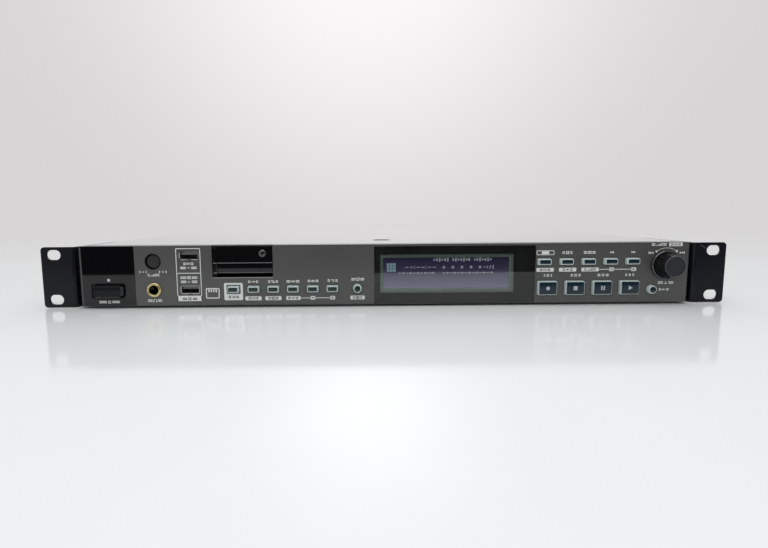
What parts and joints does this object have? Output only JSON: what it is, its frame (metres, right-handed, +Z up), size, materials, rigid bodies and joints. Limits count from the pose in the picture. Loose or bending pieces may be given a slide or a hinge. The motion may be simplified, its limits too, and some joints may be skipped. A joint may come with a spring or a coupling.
{
  "type": "rack audio recorder",
  "caption": "One-unit rack audio recorder: steel case with slotted ears, key and transport buttons, push jog knob, display, headphone and USB sockets and a hinged memory card door.",
  "frame": {"origin": "centre of the bounding box, at the bottom of the feet", "axes": "+X to the right seen from the front, +Y to the back, +Z up"},
  "size_m": [0.4826, 0.305, 0.044],
  "materials": {
    "tray_steel": "satin zinc-plated sheet steel",
    "black_steel": "fine satin black powder coat",
    "panel_grey": "satin graphite paint on a moulded panel",
    "gloss_black": "polished black acrylic",
    "window": "smoked clear acrylic sheet",
    "lamp": "milky light pipe",
    "black_plastic": "black moulded plastic",
    "gold_ring": "polished gold plate",
    "nickel": "bright nickel plate",
    "board": "green solder mask on glass fibre board",
    "lcd": "blue-violet liquid crystal cell",
    "key_pale": "pale translucent keys with dark faces",
    "power_key": "dark grey satin key",
    "knob_dark": "dark moulded knob",
    "white_plastic": "white slider plastic",
    "rubber": "black rubber",
    "steel_bright": "bright turned steel",
    "supply": "yellow taped transformer and fittings"
  },
  "bodies": {
    "recorder": {"chassis_tray": "tray_steel", "top_cover": "black_steel", "rear_panel": "black_steel", "front_panel": "panel_grey", "power_fascia": "gloss_black", "power_lamp": "lamp", "level_collar": "black_plastic", "level_pot": "black_plastic", "phones_jack": "black_plastic", "phones_ring": "gold_ring", "usb_shells": "nickel", "usb_tongues": "black_plastic", "socket_board": "board", "card_bay": "black_plastic", "card_sockets": "nickel", "card_board": "board", "display_window": "window", "lcd_frame": "nickel", "lcd_panel": "lcd", "lcd_board": "board", "key_boards": "board", "key_switches": "black_plastic", "jog_encoder": "black_plastic", "board_posts": "gold_ring", "ear_left": "black_steel", "ear_right": "black_steel", "case_screws": "black_steel", "feet": "rubber", "main_board": "board", "supply_parts": "supply", "ac_inlet": "black_plastic", "xlr_inputs": "black_plastic", "xlr_outputs": "black_plastic", "phono_jacks": "nickel", "data_ports": "nickel"},
    "power_button": {"power_button": "power_key"},
    "level_carriage": {"level_carriage": "white_plastic"},
    "level_knob": {"level_knob": "knob_dark"},
    "card_door": {"card_door": "gloss_black"},
    "card_screw": {"card_screw": "steel_bright"},
    "jog_plunger": {"jog_plunger": "white_plastic"},
    "jog_knob": {"jog_knob": "knob_dark", "jog_shaft": "steel_bright"},
    "shift_button": {"shift_button": "key_pale"},
    "move_button": {"move_button": "key_pale"},
    "copy_button": {"copy_button": "key_pale"},
    "combine_button": {"combine_button": "key_pale"},
    "divide_button": {"divide_button": "key_pale"},
    "undo_button": {"undo_button": "key_pale"},
    "display_button": {"display_button": "key_pale"},
    "list_button": {"list_button": "key_pale"},
    "menu_button": {"menu_button": "key_pale"},
    "frame_button": {"frame_button": "key_pale"},
    "rewind_button": {"rewind_button": "key_pale"},
    "forward_button": {"forward_button": "key_pale"},
    "record_button": {"record_button": "key_pale"},
    "stop_button": {"stop_button": "key_pale"},
    "pause_button": {"pause_button": "key_pale"},
    "play_button": {"play_button": "key_pale"},
    "back_button": {"back_button": "key_pale"}
  },
  "joints": [
    {"name": "power_press", "type": "slide", "parent": "recorder", "child": "power_button", "axis": [0, 1, 0], "range_m": [0, 0.001], "stiffness_N_per_m": 500},
    {"name": "level_pop", "type": "slide", "parent": "recorder", "child": "level_carriage", "axis": [0, -1, 0], "range_m": [0, 0.0055]},
    {"name": "level_turn", "type": "hinge", "parent": "level_carriage", "child": "level_knob", "pos_m": [-0.1623, -0.1395, 0.033], "axis": [0, 1, 0], "range_deg": [-150, 150]},
    {"name": "card_door_hinge", "type": "hinge", "parent": "recorder", "child": "card_door", "pos_m": [-0.1194, -0.1377, 0.032], "axis": [0, 0, -1], "range_deg": [0, 95]},
    {"name": "card_screw_turn", "type": "hinge", "parent": "card_door", "child": "card_screw", "pos_m": [-0.0859, -0.1395, 0.0382], "axis": [0, 1, 0], "continuous": true},
    {"name": "jog_push", "type": "slide", "parent": "recorder", "child": "jog_plunger", "axis": [0, 1, 0], "range_m": [0, 0.0006], "stiffness_N_per_m": 800},
    {"name": "jog_turn", "type": "hinge", "parent": "jog_plunger", "child": "jog_knob", "pos_m": [0.1964, -0.1395, 0.0282], "axis": [0, 1, 0], "continuous": true},
    {"name": "shift_press", "type": "slide", "parent": "recorder", "child": "shift_button", "axis": [0, 1, 0], "range_m": [0, 0.0008], "stiffness_N_per_m": 400},
    {"name": "move_press", "type": "slide", "parent": "recorder", "child": "move_button", "axis": [0, 1, 0], "range_m": [0, 0.0008], "stiffness_N_per_m": 400},
    {"name": "copy_press", "type": "slide", "parent": "recorder", "child": "copy_button", "axis": [0, 1, 0], "range_m": [0, 0.0008], "stiffness_N_per_m": 400},
    {"name": "combine_press", "type": "slide", "parent": "recorder", "child": "combine_button", "axis": [0, 1, 0], "range_m": [0, 0.0008], "stiffness_N_per_m": 400},
    {"name": "divide_press", "type": "slide", "parent": "recorder", "child": "divide_button", "axis": [0, 1, 0], "range_m": [0, 0.0008], "stiffness_N_per_m": 400},
    {"name": "undo_press", "type": "slide", "parent": "recorder", "child": "undo_button", "axis": [0, 1, 0], "range_m": [0, 0.0008], "stiffness_N_per_m": 400},
    {"name": "display_press", "type": "slide", "parent": "recorder", "child": "display_button", "axis": [0, 1, 0], "range_m": [0, 0.0008], "stiffness_N_per_m": 400},
    {"name": "list_press", "type": "slide", "parent": "recorder", "child": "list_button", "axis": [0, 1, 0], "range_m": [0, 0.0008], "stiffness_N_per_m": 400},
    {"name": "menu_press", "type": "slide", "parent": "recorder", "child": "menu_button", "axis": [0, 1, 0], "range_m": [0, 0.0008], "stiffness_N_per_m": 400},
    {"name": "frame_press", "type": "slide", "parent": "recorder", "child": "frame_button", "axis": [0, 1, 0], "range_m": [0, 0.0008], "stiffness_N_per_m": 400},
    {"name": "rewind_press", "type": "slide", "parent": "recorder", "child": "rewind_button", "axis": [0, 1, 0], "range_m": [0, 0.0008], "stiffness_N_per_m": 400},
    {"name": "forward_press", "type": "slide", "parent": "recorder", "child": "forward_button", "axis": [0, 1, 0], "range_m": [0, 0.0008], "stiffness_N_per_m": 400},
    {"name": "record_press", "type": "slide", "parent": "recorder", "child": "record_button", "axis": [0, 1, 0], "range_m": [0, 0.0008], "stiffness_N_per_m": 400},
    {"name": "stop_press", "type": "slide", "parent": "recorder", "child": "stop_button", "axis": [0, 1, 0], "range_m": [0, 0.0008], "stiffness_N_per_m": 400},
    {"name": "pause_press", "type": "slide", "parent": "recorder", "child": "pause_button", "axis": [0, 1, 0], "range_m": [0, 0.0008], "stiffness_N_per_m": 400},
    {"name": "play_press", "type": "slide", "parent": "recorder", "child": "play_button", "axis": [0, 1, 0], "range_m": [0, 0.0008], "stiffness_N_per_m": 400},
    {"name": "back_press", "type": "slide", "parent": "recorder", "child": "back_button", "axis": [0, 1, 0], "range_m": [0, 0.0008], "stiffness_N_per_m": 400}
  ]
}
